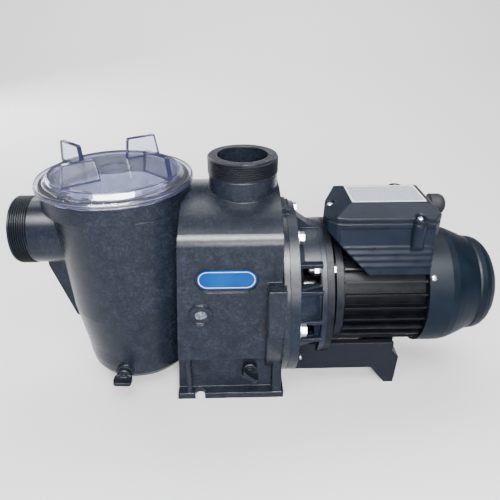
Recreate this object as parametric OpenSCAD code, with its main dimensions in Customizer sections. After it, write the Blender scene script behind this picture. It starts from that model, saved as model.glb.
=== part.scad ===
// Pool pump: strainer pot with a clear winged lid, volute casing, lantern bracket and a fan-cooled motor.
// Frame: x = 0 on the discharge axis, +X to the motor, +Y away from the viewer, z = 0 on the floor. Units mm.

/* [Casing] */
// Radius of the arc along the casing's top, about the motor axis
casing_arc_r = 126; // [110:0.5:140]
// Half width of the casing and its foot
casing_half_w = 80; // [60:0.5:95]
// Radius of the rounded shoulder
shoulder_r = 18; // [8:0.5:30]
// Height of the ledge above the recessed foot
ledge_z = 58; // [40:0.5:70]
// Right end of the casing block
casing_x1 = 39; // [30:0.5:45]
// Wall thickness of the casing
casing_wall = 8; // [4:0.5:12]
// Outer radius of the clamped flanges
flange_r = 100; // [90:0.5:110]
// Face where the casing flange meets the bracket
joint_x = 46.5; // [44:0.5:50]
// Thickness of the bracket's flange
bracket_flange = 10.5; // [8:0.5:14]

/* [Ports] */
// Radius over the port thread's core
port_core_r = 36.2; // [30:0.1:40]
// Radius of the plain part of each port
port_plain_r = 36.6; // [30:0.1:40]
// Bore radius of each port
port_bore_r = 27.1; // [20:0.1:30]
// Length of the threaded part
thread_len = 20; // [10:0.5:30]
// Top face of the discharge port
discharge_z = 266; // [240:0.5:280]
// End face of the suction port
suction_x = -248.4; // [-270:0.1:-220]
// Axis height of the suction port
suction_z = 182; // [160:0.5:200]

/* [Strainer] */
// Axis of the pot, lid and basket
pot_x = -135.9; // [-150:0.1:-120]
// Axis of the pot's own body, nearer the casing than the lid's axis
body_x = -128.4; // [-136:0.1:-124]
// Pot radius just under its collar
pot_top_r = 76; // [60:0.5:80]
// Pot radius low down, where the bottom starts to round
pot_low_r = 63.3; // [55:0.1:75]
// Wall thickness of the pot
pot_wall = 6; // [4:0.5:10]
// Underside of the pot
pot_floor_z = 11; // [0:0.5:20]
// Radius of the collar
collar_r = 78.5; // [70:0.5:84]
// Bore radius of the collar
collar_bore_r = 70.5; // [66:0.5:74]
// Underside of the collar
collar_z0 = 219; // [210:0.5:225]
// Top of the collar
collar_z1 = 237; // [230:0.5:245]
// Radius of the lid
lid_r = 82.3; // [76:0.1:90]
// Top of the lid's rim
lid_rim_z = 245; // [240:0.5:250]
// Top of the lid's deck
lid_deck_z = 251; // [247:0.5:260]
// Top of the four wings
wing_top_z = 273.5; // [265:0.5:290]

/* [Motor] */
// Height of the motor and impeller axis
axis_z = 105; // [90:0.5:120]
// Radius of the motor's front flange
motor_flange_r = 80; // [70:0.5:90]
// Radius of the motor's bolt circle
motor_pcr = 65; // [57.5:0.5:75]
// Front end of the finned housing
housing_x0 = 108; // [104:0.5:112]
// Rear end of the finned housing
housing_x1 = 200; // [180:0.5:220]
// Radius over the cooling fins
fin_r = 66; // [60:0.5:72]
// Radius of the barrel under the fins
barrel_r = 57.5; // [54:0.5:60]
// Number of cooling fins round the housing
fin_count = 28; // [20:1:36]
// Radius of the fan cowl
cowl_r = 68.7; // [66:0.1:75]
// Rear end of the cowl
cowl_x1 = 294; // [275:0.5:300]

/* [Terminal box] */
// Left end of the box
box_x0 = 84; // [80:0.5:95]
// Right end of the box
box_x1 = 206; // [195:0.5:215]
// Half width of the box at its rim
box_half_w = 48; // [40:0.5:55]
// Top of the box base
box_rim_z = 205.5; // [195:0.5:210]
// Flat top of the lid
box_top_z = 220; // [212:0.5:230]

/* [Hidden] */
$fn = 96;
clear = 0.3; // between pieces that only sit near each other
run = 0.05; // radial clearance of a running fit
press = 0.1; // radial clearance of a fixed fit
rod_clear = 0.3; // screw shank in its hole
chamber_x = -132.5; // axis of the strainer chamber and the basket
wall_slant = 3.3; // the casing's left wall leans by this much
wall_x0 = -77.5; // the left wall at z = 0
chamber_x0 = -58;
chamber_x1 = 30;
bolt_pcr = flange_r - 9; // circle of the flange bolts
flange_x1 = joint_x + bracket_flange; // seat of the flange bolts' washers
spigot_r = bolt_pcr - 11.4; // bracket spigot in the casing's opening
bowl_r = spigot_r - 9.6; // outside of the diffuser's bowl
impeller_r = bowl_r - 10;
opening_r = spigot_r + clear;
pot_plug = [-138.5, 28]; // x, z of the pot's drain plug
vol_plug = [5.5, 37]; // x, z of the casing's drain plug
pot_plug_y = -64; // seat of the pot's plug
vol_plug_y = -68; // seat of the casing's plug
plug_shank_r = 6.2;
plug_hole_r = plug_shank_r + clear;
seal_thick = 2;
neck_x = suction_x + thread_len; // where the suction port's thread ends
shaft_x0 = 14;
brg_f = [98.5, 110.5]; // front bearing, from and to
brg_w = 10; // width of the rear bearing
brg_r = [housing_x1 + 2, housing_x1 + 2 + brg_w]; // rear bearing, from and to
fan_x0 = brg_r[1] + 10; // front of the fan's hub
shaft_x1 = fan_x0 + 21;
ring_x = [82, 87.5]; // the bracket's motor ring
nut_x1 = ring_x[0] + 0.2; // the nuts' seats are spot-faced into the ring
bolt_angles = [0, 64, 116, 180, 244, 296];
stud_angles = [45, 135, 225, 315];
label_t = 0.4;
gasket_t = 1.5;
lid_z0 = box_rim_z + gasket_t;
box_floor_z = 178;
pad_z = 174; // flat top of the housing's pad
cradle_z = 36; // flat under the housing's feet
gland_y = 30;
gland_z = 194;
box_screw_xy = [[95.5, -6], [182, -46.5], [182, 46.5]];
screw_seat_z = lid_z0 + 2; // where the lid screws' heads sit
cowl_screw_angles = [35, 145, 270];

// ---- helpers ----
// cylinder along X about the motor axis
module disc(x0, x1, r) translate([x0, 0, axis_z]) rotate([0, 90, 0]) cylinder(h = x1 - x0, r = r);
// ring along X about the motor axis
module ring(x0, x1, r_out, r_in)
    translate([x0, 0, axis_z]) rotate([0, 90, 0]) rotate_extrude()
        translate([r_in, 0]) square([r_out - r_in, x1 - x0]);
// profile of [radius, x] points turned about the motor axis
module turned(points) translate([0, 0, axis_z]) rotate([0, 90, 0]) rotate_extrude() polygon(points);
// one copy for each angle about the motor axis, 0 at the front, counted upwards
module around(angles) for (a = angles) translate([0, 0, axis_z]) rotate([-a, 0, 0]) children();
// a cylinder along X at a radius towards the viewer
module rod_at(x0, x1, pcr, r, sides = 96)
    translate([x0, -pcr, 0]) rotate([0, 90, 0]) cylinder(h = x1 - x0, r = r, $fn = sides);
// drawing in (y, z) extruded along X
module along_x(x0, x1) translate([x0, 0, 0]) rotate([90, 0, 90]) linear_extrude(x1 - x0) children();
// drawing in (x, z) extruded along Y
module along_y(y0, y1) translate([0, y1, 0]) rotate([90, 0, 0]) linear_extrude(y1 - y0) children();
// cylinder along Y
module pin_y(x, z, y0, y1, r) translate([x, y1, z]) rotate([90, 0, 0]) cylinder(h = y1 - y0, r = r);
// block to the right of the casing's leaning left wall
module right_of_wall(size = 640)
    translate([wall_x0, -size / 2, 0]) rotate([0, wall_slant, 0]) translate([0, 0, -size / 2]) cube(size);
module racetrack(w, h) {
    translate([-(w - h) / 2, 0]) circle(h / 2);
    translate([(w - h) / 2, 0]) circle(h / 2);
    square([w - h, h], center = true);
}

// ---- wet end ----
// cross-section of the casing, inset by w
module casing_profile(w) {
    rr = shoulder_r - w;
    cy = casing_half_w - shoulder_r;
    cz = sqrt(pow(casing_arc_r - shoulder_r, 2) - cy * cy);
    translate([-cy, axis_z + cz]) circle(rr);
    translate([cy, axis_z + cz]) circle(rr);
    translate([-casing_half_w + w, ledge_z + w])
        square([2 * (casing_half_w - w), axis_z + cz - ledge_z - w]);
    intersection() {
        translate([0, axis_z]) circle(casing_arc_r - w);
        polygon([[0, axis_z], [-3 * cy, axis_z + 3 * cz], [3 * cy, axis_z + 3 * cz]]);
    }
}

module volute_casing() color([0.09, 0.10, 0.12]) difference() {
    union() {
        intersection() {
            along_x(-90, casing_x1) casing_profile(0);
            right_of_wall();
        }
        // recessed foot wall and its flange
        intersection() {
            translate([-90, -68, 6]) cube([128, 136, ledge_z]);
            right_of_wall();
        }
        intersection() {
            translate([-90, -casing_half_w, 0]) cube([134, 2 * casing_half_w, 8]);
            right_of_wall();
        }
        // ribs between ledge and foot
        for (s = [-1, 1], x = [31, -66])
            translate([x, s > 0 ? 67 : -casing_half_w + 1, 4]) cube([x > 0 ? 10 : 5, 12, ledge_z]);
        // round volute belly, level on top, with a raised block at each side
        intersection() {
            disc(23, joint_x - 5, flange_r - 4);
            translate([0, -120, 4]) cube([60, 240, 152]);
        }
        for (s = [-1, 1]) translate([24, s > 0 ? 80 : -99, 101]) cube([18, 19, 56]);
        disc(40, joint_x, flange_r);
        // lug on top of the flange
        translate([casing_x1 + 1, -16, 180]) cube([joint_x - casing_x1 - 1, 32, 31]);
        // discharge port
        translate([0, 0, 215]) cylinder(h = discharge_z - 215 - thread_len, r = port_plain_r);
        translate([0, 0, discharge_z - thread_len - 1]) cylinder(h = thread_len + 1, r = port_core_r);
        // round gate boss on the front
        pin_y(-46, 118, -casing_half_w - 1.5, -casing_half_w + 3, 13);
    }
    // water chamber
    along_x(chamber_x0, chamber_x1) casing_profile(casing_wall);
    translate([chamber_x0, -60, 22]) cube([chamber_x1 - chamber_x0, 120, ledge_z]);
    disc(chamber_x1 - 5, joint_x + 1, opening_r);
    disc(joint_x - 2, joint_x + 1, spigot_r + 4.7);
    // socket for the diffuser's neck
    disc(-90, chamber_x0 + 1, 29);
    translate([0, 0, 150]) cylinder(h = 150, r = port_bore_r);
    // the pot's collar and lid stand over this corner
    translate([pot_x, 0, collar_z0 - clear]) cylinder(h = 60, r = collar_r + clear);
    // badge place
    translate([-18, -casing_half_w + 2, 160.7]) rotate([90, 0, 0]) linear_extrude(5) racetrack(64.6, 31);
    pin_y(-46, 118, -casing_half_w - 2, -casing_half_w - 0.8, 10.5);
    around(bolt_angles) rod_at(34, joint_x + 1, bolt_pcr, 4 + rod_clear);
    pin_y(vol_plug[0], vol_plug[1], -90, -55, plug_hole_r);
    // open slots for the floor bolts
    for (s = [-1, 1]) {
        translate([-52, s * (casing_half_w - 6), -1]) cylinder(h = 12, r = 5.5);
        translate([-57.5, s > 0 ? casing_half_w - 6 : -casing_half_w - 5, -1]) cube([11, 11, 12]);
    }
}

module strainer_pot() color([0.09, 0.10, 0.12]) difference() {
    union() {
        difference() {
            union() {
                translate([body_x, 0, 0]) rotate_extrude() polygon([
                    [0, pot_floor_z], [48, pot_floor_z], [52.5, pot_floor_z + 1], [56.5, pot_floor_z + 4],
                    [60, pot_floor_z + 10], [61.9, pot_floor_z + 22], [pot_low_r, pot_floor_z + 38], [70.5, pot_floor_z + 88],
                    [pot_top_r, collar_z0 - 8], [pot_top_r, collar_z0 + 1], [0, collar_z0 + 1]]);
                translate([pot_x, 0, collar_z0]) cylinder(h = 2, r = collar_r);
            }
            right_of_wall();
        }
        translate([pot_x, 0, collar_z0]) cylinder(h = collar_z1 - collar_z0, r = collar_r);
        // plain part of the suction port
        translate([neck_x, 0, suction_z]) rotate([0, 90, 0]) cylinder(h = -150 - neck_x, r = port_plain_r);
        // web under the suction port
        along_y(-3, 3) polygon([[-224.8, 150], [-224.8, 136.2], [-203.5, 67.9], [-175, 50], [-175, 150]]);
        // drain boss
        pin_y(pot_plug[0], pot_plug[1], pot_plug_y, -40, 10);
    }
    // strainer chamber
    translate([chamber_x, 0, 0]) rotate_extrude() polygon([
        [0, pot_floor_z + 7], [42, pot_floor_z + 7], [48, pot_floor_z + 10], [51, pot_floor_z + 20],
        [54, pot_floor_z + 39], [57, pot_floor_z + 89], [62, collar_z0 + 1], [0, collar_z0 + 1]]);
    translate([pot_x, 0, collar_z0]) cylinder(h = 40, r = collar_bore_r);
    translate([neck_x - 1, 0, suction_z]) rotate([0, 90, 0]) cylinder(h = pot_x - neck_x, r = port_bore_r + 0.5);
    translate([-120, 0, axis_z]) rotate([0, 90, 0]) cylinder(h = 90, r = port_bore_r);
    pin_y(pot_plug[0], pot_plug[1], pot_plug_y - 1, -20, plug_hole_r);
}

// threaded end of the suction port
module suction_collar() color([0.09, 0.10, 0.12]) translate([suction_x, 0, suction_z]) rotate([0, 90, 0]) rotate_extrude()
    translate([port_bore_r, 0]) square([port_core_r - port_bore_r, neck_x - suction_x]);

// one wing of the lid: from a base point, along a direction in plan
module wing(p, dir, len) translate([p[0], p[1], 0]) rotate([0, 0, dir])
    along_y(-2.2, 2.2) polygon([[0, lid_deck_z - 3], [len, lid_deck_z - 3], [len - 4, wing_top_z], [3, wing_top_z]]);

module strainer_lid() color([0.45, 0.48, 0.60, 0.45]) union() {
    translate([pot_x, 0, 0]) rotate_extrude() polygon([
        [0, lid_deck_z - 4], [62, lid_deck_z - 4], [65.5, lid_rim_z - 1.5], [65.5, 226], [collar_bore_r - 0.6, 226],
        [collar_bore_r - 0.6, collar_z1 + seal_thick], [lid_r, collar_z1 + seal_thick], [lid_r, lid_rim_z - 1.5],
        [lid_r - 1.5, lid_rim_z], [73, lid_rim_z], [69.5, lid_deck_z - 1.5], [67.5, lid_deck_z], [0, lid_deck_z]]);
    // plain moulded ring in the middle
    translate([pot_x, 2, 0]) rotate_extrude() translate([16, lid_deck_z - 1]) square([2, 2]);
    for (turn = [0, 180]) translate([pot_x, 0, 0]) rotate([0, 0, turn]) {
        wing([6.7, 34.2], 34, 39);
        wing([34, -6.8], -43.7, 41);
    }
}

module lid_seal() color([0.03, 0.03, 0.03]) translate([pot_x, 0, collar_z1]) rotate_extrude()
    translate([71.5, 0]) square([6, seal_thick]);

module strainer_basket() color([0.85, 0.87, 0.88]) difference() {
    union() {
        difference() {
            translate([chamber_x, 0, 0]) rotate_extrude() polygon([
                [0, 36], [47.5, 36], [58.5, collar_z0], [65.5, collar_z0], [65.5, collar_z0 + 3], [0, collar_z0 + 3]]);
            translate([chamber_x, 0, 0]) rotate_extrude() polygon([
                [0, 39], [45.2, 39], [56.2, collar_z0 + 4], [0, collar_z0 + 4]]);
        }
        // lifting bar across the top
        translate([chamber_x - 57, -4, collar_z0 - 9]) cube([114, 8, 12]);
    }
    // slots in the wall, three rows
    for (a = [0:15:165], r = [0:2])
        translate([chamber_x, 0, 50 + r * 44]) rotate([0, 0, a + 7.5]) translate([-80, -2, 0]) cube([160, 4, 36]);
    // slots in the floor
    for (a = [0:22.5:157.5]) translate([chamber_x, 0, 30]) rotate([0, 0, a]) {
        translate([18, -2, 0]) cube([24, 4, 12]);
        translate([-42, -2, 0]) cube([24, 4, 12]);
    }
    // way in from the suction port
    translate([suction_x, 0, suction_z]) rotate([0, 90, 0]) cylinder(h = 90, r = port_bore_r + 0.6);
}

// plug with a T bar, its seat at y0
module plug(x, z, y0, bar) {
    pin_y(x, z, y0 - seal_thick - 6, y0 - seal_thick, 8.5);
    pin_y(x, z, y0 - seal_thick - 1, y0 + 9, plug_shank_r);
    translate([x, y0 - seal_thick - 12, z]) rotate([0, bar, 0]) cube([20, 14, 5], center = true);
}
module washer_y(x, z, y0, r_out, r_in) translate([x, y0, z]) rotate([90, 0, 0])
    rotate_extrude() translate([r_in, 0]) square([r_out - r_in, seal_thick]);

module pot_drain_plug() color([0.08, 0.09, 0.10]) plug(pot_plug[0], pot_plug[1], pot_plug_y, 4);
module pot_drain_seal() color([0.03, 0.03, 0.03]) washer_y(pot_plug[0], pot_plug[1], pot_plug_y, 8.3, 6.6);
module volute_drain_plug() color([0.08, 0.09, 0.10]) plug(vol_plug[0], vol_plug[1], vol_plug_y, 35);
module volute_drain_seal() color([0.03, 0.03, 0.03]) washer_y(vol_plug[0], vol_plug[1], vol_plug_y, 8.3, 6.6);

module badge_plate() color([0.05, 0.35, 0.80])
    translate([-18, -casing_half_w + 2, 160.2]) rotate([90, 0, 0]) linear_extrude(1.5) racetrack(60.5, 21.5);

module diffuser() color([0.16, 0.17, 0.19]) difference() {
    union() {
        turned([[24, -68.8], [28.7, -68.8], [28.7, -12], [bowl_r, -12], [bowl_r, 36], [bowl_r - 4, 36], [bowl_r - 4, -8],
            [26.2, -8], [26.2, -16], [24, -16]]);
        // guide vanes outside the bowl
        for (a = [0:45:315]) translate([0, 0, axis_z]) rotate([a, 0, 0])
            translate([-8, bowl_r - 2, -2]) cube([40, 3.5, 4]);
    }
    // outlets between the vanes
    for (a = [0:45:315]) translate([0, 0, axis_z]) rotate([a + 22, 0, 0]) translate([6, bowl_r - 10, -14]) cube([20, 20, 28]);
    turned([[0, -7.9], [bowl_r - 4, -7.9], [bowl_r - 4, 39], [0, 39]]);
}

// one curved vane, drawn in the plane across the axis
module vane() {
    n = 12;
    reach = impeller_r - 24;
    outer = [for (i = [0:n]) let (r = 22 + reach * i / n, a = 80 * i / n) [r * cos(a), r * sin(a)]];
    inner = [for (i = [n:-1:0]) let (r = 22 + reach * i / n, a = 80 * i / n + 6 - 2 * i / n) [r * cos(a), r * sin(a)]];
    polygon(concat(outer, inner));
}
module impeller() color([0.20, 0.21, 0.23]) difference() {
    union() {
        disc(22, 26, impeller_r);
        ring(5, 8, impeller_r, 23);
        ring(-12, 6, 25.2, 23);
        turned([[0, 6], [9, 6], [14, 16], [14, 32], [0, 32]]);
        for (a = [0:60:300]) translate([7, 0, axis_z]) rotate([0, 90, 0]) rotate([0, 0, a]) linear_extrude(16) vane();
    }
    disc(shaft_x0, 40, 8 + press);
    disc(0, shaft_x0 + 1, 3 + rod_clear);
}
module impeller_screw() color([0.75, 0.75, 0.76]) union() {
    disc(2, 6, 6);
    disc(5, 26, 3);
}

module seal_seat() color([0.88, 0.87, 0.83]) ring(44, 50, 15.8, 9);
module seal_head() color([0.25, 0.25, 0.27]) ring(38, 44 - run, 14, 8 + press);
module seal_boot() color([0.10, 0.10, 0.10]) ring(32, 38, 12.5, 8 + press);
module water_slinger() color([0.05, 0.05, 0.05])
    turned([[10 + press, 64], [13, 64], [22, 68], [22, 70], [14, 70], [10 + press, 70]]);

// ---- bracket between casing and motor ----
module bracket() color([0.12, 0.13, 0.16]) difference() {
    union() {
        disc(36, joint_x + 1, spigot_r);
        disc(joint_x, flange_x1, flange_r);
        // lantern wall and the motor's ring
        difference() {
            turned([[0, flange_x1 - 1], [bolt_pcr - 8.5, flange_x1 - 1], [74, 80], [74, 82.5], [0, 82.5]]);
            turned([[0, 50], [bolt_pcr - 13.5, 50], [bolt_pcr - 13.5, flange_x1], [69, 80], [69, 90], [0, 90]]);
        }
        ring(ring_x[0], ring_x[1], motor_flange_r, 58);
        difference() {
            disc(flange_x1 - 1, ring_x[1] - 1, motor_flange_r - 0.5);
            disc(50, 90, 69.5);
            translate([40, -130, -60]) cube([60, 260, 205]);
        }
        // gusset and lug on top
        along_y(-9, 9) polygon([[48, 180], [48, 208], [51, 206], [57, 199], [64, 193.5], [71, 188.5], [78, 186],
            [87, 184], [87, 176], [60, 176]]);
        translate([joint_x, -16, 180]) cube([4, 32, 29]);
        // side ribs, from the top: height, outer edge
        for (s = [-1, 1], rib = [[161, 60], [137, 75], [104.5, 82.6], [80, 80]])
            translate([flange_x1 - 1, s > 0 ? rib[1] - 16 : -rib[1], rib[0]]) cube([ring_x[0] - flange_x1 + 2, 16, 4]);
        // bearing housing of the shaft seal
        ring(56, 62, 24, 15);
    }
    // mechanical seal's room
    disc(35, 44.5, 24);
    disc(44, 50, 16);
    disc(49, 70, 11.5);
    around(bolt_angles) rod_at(40, 60, bolt_pcr, 4 + rod_clear, 48);
    around(stud_angles) rod_at(70, 90, motor_pcr, 4 + rod_clear, 48);
    for (s = [-1, 1]) translate([48, s * 62, 44]) rotate([0, 90, 0]) cylinder(h = 12, r = 2 + rod_clear, $fn = 48);
    // windows at the sides and below, the way for the cradle's rails, and pockets at the nuts
    for (s = [-1, 1]) {
        translate([flange_x1 + 3, s > 0 ? 30 : -130, 84.5]) cube([ring_x[0] - flange_x1 - 9, 100, 19.5]);
        translate([flange_x1, s > 0 ? 49.7 : -66.5, 0]) cube([ring_x[0] - flange_x1, 16.8, 59.5]);
        for (z = [46, -46]) translate([flange_x1 + 3, s > 0 ? 46 : -95, axis_z + z - 8.5]) cube([ring_x[0] - flange_x1 - 4, 49, 17]);
    }
    translate([flange_x1 + 3, -28, 0]) cube([ring_x[0] - flange_x1 - 9, 56, 60]);
    around(stud_angles) rod_at(flange_x1 + 4, nut_x1, motor_pcr, 9, 48);
}

module casing_gasket() color([0.03, 0.03, 0.03]) ring(joint_x - 2, joint_x, spigot_r + 4.4, spigot_r + 0.6);
module flange_bolts() color([0.78, 0.79, 0.80]) around(bolt_angles) {
    rod_at(flange_x1 + 1.5, flange_x1 + 7, bolt_pcr, 6.8, 6);
    rod_at(36, flange_x1 + 2, bolt_pcr, 4);
}
module flange_washers() color([0.72, 0.73, 0.75]) around(bolt_angles) translate([flange_x1, -bolt_pcr, 0])
    rotate([0, 90, 0]) rotate_extrude() translate([4 + rod_clear, 0]) square([3.5, 1.5]);
module motor_bolts() color([0.78, 0.79, 0.80]) around(stud_angles) {
    rod_at(95, 99, motor_pcr, 6.5, 6);
    rod_at(70, 96, motor_pcr, 4);
}
module motor_nuts() color([0.78, 0.79, 0.80]) around(stud_angles) difference() {
    rod_at(nut_x1 - 6.5, nut_x1, motor_pcr, 7, 6);
    rod_at(nut_x1 - 8, nut_x1 + 1, motor_pcr, 4 + press);
}

// ---- motor ----
module motor_shaft() color([0.62, 0.63, 0.65]) difference() {
    turned([[0, shaft_x0], [8, shaft_x0], [8, 60], [10, 62], [10, brg_f[1] + clear], [14, brg_f[1] + clear],
        [14, 186], [17, 186], [17, 189], [11, 189], [11, brg_r[0] - clear], [8.5, brg_r[0] - clear],
        [8.5, fan_x0], [7.5, fan_x0], [7.5, fan_x0 + 19], [6.8, fan_x0 + 19], [6.8, fan_x0 + 20], [7.5, fan_x0 + 20],
        [7.5, shaft_x1], [0, shaft_x1]]);
    disc(10, 30, 3 + rod_clear);
}
module rotor_core() color([0.45, 0.46, 0.48]) union() {
    ring(118, 186, 32.8, 14 + press);
    ring(114, 119, 31, 25);
    ring(185, 190, 31, 25);
}
module bearing(x0, x1, r_out, r_in) {
    m = (r_out + r_in) / 2;
    w = (r_out - r_in) / 2;
    ring(x0, x1, r_out, m + 0.35 * w);
    ring(x0, x1, m - 0.35 * w, r_in);
    ring(x0 + 1, x1 - 1, m + 0.5 * w, m - 0.5 * w);
}
module front_bearing() color([0.75, 0.76, 0.78]) bearing(brg_f[0], brg_f[1], 20, 10 + run);
module rear_bearing() color([0.75, 0.76, 0.78]) bearing(brg_r[0], brg_r[1], 17.5, 8.5 + run);

module stator_core() color([0.40, 0.41, 0.43]) difference() {
    ring(118, 188, 51.8, 33.4);
    for (a = [0:15:165]) translate([117, 0, axis_z]) rotate([a, 0, 0]) translate([0, -46, -1.5]) cube([72, 10, 3]);
    for (a = [0:15:165]) translate([117, 0, axis_z]) rotate([a, 0, 0]) translate([0, 36, -1.5]) cube([72, 10, 3]);
}
module stator_windings() color([0.72, 0.38, 0.16]) union() {
    ring(110.5, 118, 47, 37);
    ring(188, 193.5, 47, 37);
}

module motor_housing() color([0.03, 0.03, 0.04]) difference() {
    union() {
        disc(housing_x0, housing_x1, barrel_r);
        for (i = [0:fin_count / 2 - 1]) translate([housing_x0 + 1, 0, axis_z]) rotate([(i + 0.5) * 360 / fin_count, 0, 0])
            translate([0, -fin_r, -1.1]) cube([housing_x1 - housing_x0 - 2, 2 * fin_r, 2.2]);
        // pad for the terminal box and feet for the cradle
        translate([145, -30, 150]) cube([45, 60, pad_z - 150]);
        for (s = [-1, 1]) translate([152, s > 0 ? 18 : -42, cradle_z]) cube([24, 24, 30]);
    }
    disc(housing_x0 - 1, housing_x1 + 1, 52);
    // way for the leads, and the cradle screws' holes
    translate([167, 0, 150]) cylinder(h = 40, r = 9);
    for (s = [-1, 1]) translate([164, s * 30, cradle_z - 1]) cylinder(h = 12, r = 2.5 + rod_clear);
    for (x = [150, 185]) translate([x, 0, pad_z - 10]) cylinder(h = 12, r = 2 + rod_clear);
}

module front_end_shield() color([0.16, 0.17, 0.20]) difference() {
    union() {
        disc(84, 88, 57.7);
        disc(ring_x[1], 95, motor_flange_r);
        disc(94, housing_x0, 55);
        disc(99.6, housing_x0, 66.5);
        disc(housing_x0 - 1, housing_x0 + 4, 51.8);
    }
    disc(80, 110, 11.5);
    disc(brg_f[0], 110, 20 + press);
    difference() {
        disc(98, housing_x0 + 5, 47.5);
        disc(90, 109.5, 25);
    }
    difference() {
        disc(80, 92, 50);
        disc(80, 93, 27);
    }
    around(stud_angles) rod_at(85, 98, motor_pcr, 4 + rod_clear);
}

module rear_end_shield() color([0.16, 0.17, 0.20]) difference() {
    union() {
        disc(housing_x1 - 6, housing_x1 + 1, 51.8);
        disc(housing_x1, 208, 66.2);
        disc(housing_x1, brg_r[1] + 3, 23);
    }
    difference() {
        disc(190, 204, 47.5);
        disc(190, 210, 22);
    }
    disc(190, 198, 30);
    disc(190, brg_r[1], 17.5 + press);
    disc(190, brg_r[1] + 8, 12);
    around(cowl_screw_angles) translate([204, -70, 0]) rotate([-90, 0, 0]) cylinder(h = 14, r = 1.8 + rod_clear);
}

module cooling_fan() color([0.12, 0.12, 0.13]) difference() {
    union() {
        disc(fan_x0, fan_x0 + 18, 12);
        disc(fan_x0, fan_x0 + 3, 54);
        for (a = [0:45:315]) translate([fan_x0 + 2, 0, axis_z]) rotate([a, 0, 0]) translate([0, -54, -1.2]) cube([20, 44, 2.4]);
    }
    disc(fan_x0 - 2, fan_x0 + 28, 7.5 + press);
}
module fan_clip() color([0.70, 0.71, 0.72]) ring(fan_x0 + 19, fan_x0 + 20, 10, 6.9);

module fan_cowl() color([0.11, 0.15, 0.19]) difference() {
    union() {
        disc(housing_x1, 226.2, cowl_r);
        turned([[0, 226], [cowl_r, 226], [67.2, 234], [64.4, 241.5], [60, 251.5], [55.2, 262], [0, 262]]);
        // domed end, a bead larger than the cone it closes
        turned([[0, 261.5], [55, 261.5], [55.8, 264], [55.2, 270], [53.2, 275], [50, 279], [45.6, 282.6],
            [39.6, 286], [32, 289.2], [23, 291.8], [12, 293.5], [6, cowl_x1], [0, cowl_x1]]);
    }
    disc(housing_x1 - 1, 220, 66.5);
    turned([[0, 219.9], [66.5, 219.9], [66.4, 226], [64.9, 233.3], [62.2, 240.5], [57.8, 250.5], [52.6, 261.5],
        [52.6, 269], [50.8, 273.4], [47.9, 277], [43.8, 280.3], [38, 283.6], [30.6, 286.6], [21.8, 289.1], [11, 290.6], [5, 291], [0, 291]]);
    // air grille in the rear
    for (a = [0:15:345]) translate([260, 0, axis_z]) rotate([a, 0, 0]) translate([0, 17, -1.5]) cube([40, 21, 3]);
    around(cowl_screw_angles) translate([204, -72, 0]) rotate([-90, 0, 0]) cylinder(h = 10, r = 1.8 + rod_clear);
}
module cowl_screws() color([0.70, 0.71, 0.73]) around(cowl_screw_angles) {
    translate([204, -71.5, 0]) rotate([-90, 0, 0]) cylinder(h = 71.5 - cowl_r - 0.01, r = 3.5);
    translate([204, -70, 0]) rotate([-90, 0, 0]) cylinder(h = 12, r = 1.8);
}

// ---- terminal box ----
// outline of the box seen from above, inset by w
module box_plan(w) polygon([
    [box_x0 + w, -30], [88 + w, -40 + w / 2], [97 + w / 2, -46 + w], [108 + w / 2, -box_half_w + w],
    [199 - w / 2, -box_half_w + w], [box_x1 - w, -41 + w / 2],
    [box_x1 - w, 41 - w / 2], [199 - w / 2, box_half_w - w], [116 + w / 2, box_half_w - w], [105 + w, 33],
    [91 + w, 4]]);
module box_ears(z0, z1) for (p = [box_screw_xy[1], box_screw_xy[2]])
    translate([p[0], p[1], z0]) cylinder(h = z1 - z0, r = 7.5);

module terminal_box_base() color([0.17, 0.20, 0.25]) difference() {
    union() {
        intersection() {
            along_y(-70, 70) polygon([[box_x0, box_rim_z], [box_x0, 199.5], [134, 148], [200, 148], [200, 186],
                [box_x1, 192], [box_x1, box_rim_z]]);
            along_x(60, 230) polygon([[-49, box_rim_z], [-49, 201], [-46.5, 199.5], [-48.6, 180], [-50, 179.6],
                [-49.2, 176], [-51.6, 172.4], [-50.4, 169], [-52.8, 165.4], [-51.6, 162], [-54, 158.4], [-52.6, 155], [-54.6, 148],
                [54.6, 148], [46.5, 199.5], [49, 201], [49, box_rim_z]]);
            union() {
                translate([0, 0, 140]) linear_extrude(70) box_plan(0);
                translate([100, -60, 140]) cube([100, 120, 55]);
            }
        }
        intersection() {
            box_ears(172, box_rim_z);
            along_x(60, 230) polygon([[-60, box_rim_z], [-60, 190], [-48, 172], [48, 172], [60, 190], [60, box_rim_z]]);
        }
        translate([box_x1 - 3, gland_y, gland_z]) rotate([0, 90, 0]) cylinder(h = 7, r = 8.5);
    }
    difference() {
        translate([0, 0, box_floor_z]) linear_extrude(40) box_plan(4);
        translate([box_screw_xy[0][0], box_screw_xy[0][1], box_floor_z - 1]) cylinder(h = 60, r = 6);
        for (p = [box_screw_xy[1], box_screw_xy[2]]) translate([p[0], p[1], box_floor_z - 1]) cylinder(h = 60, r = 6.5);
    }
    // over the fins and the housing's pad
    disc(60, 230, fin_r + 1);
    translate([144.5, -30.5, 130]) cube([46, 61, pad_z - 130]);
    translate([167, 0, 150]) cylinder(h = 40, r = 9);
    for (p = box_screw_xy) translate([p[0], p[1], 190]) cylinder(h = 30, r = 2 + rod_clear);
    for (x = [150, 185]) translate([x, 0, 160]) cylinder(h = 30, r = 2 + rod_clear);
    translate([box_x1 - 8, gland_y, gland_z]) rotate([0, 90, 0]) cylinder(h = 20, r = 7 + clear);
}

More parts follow.
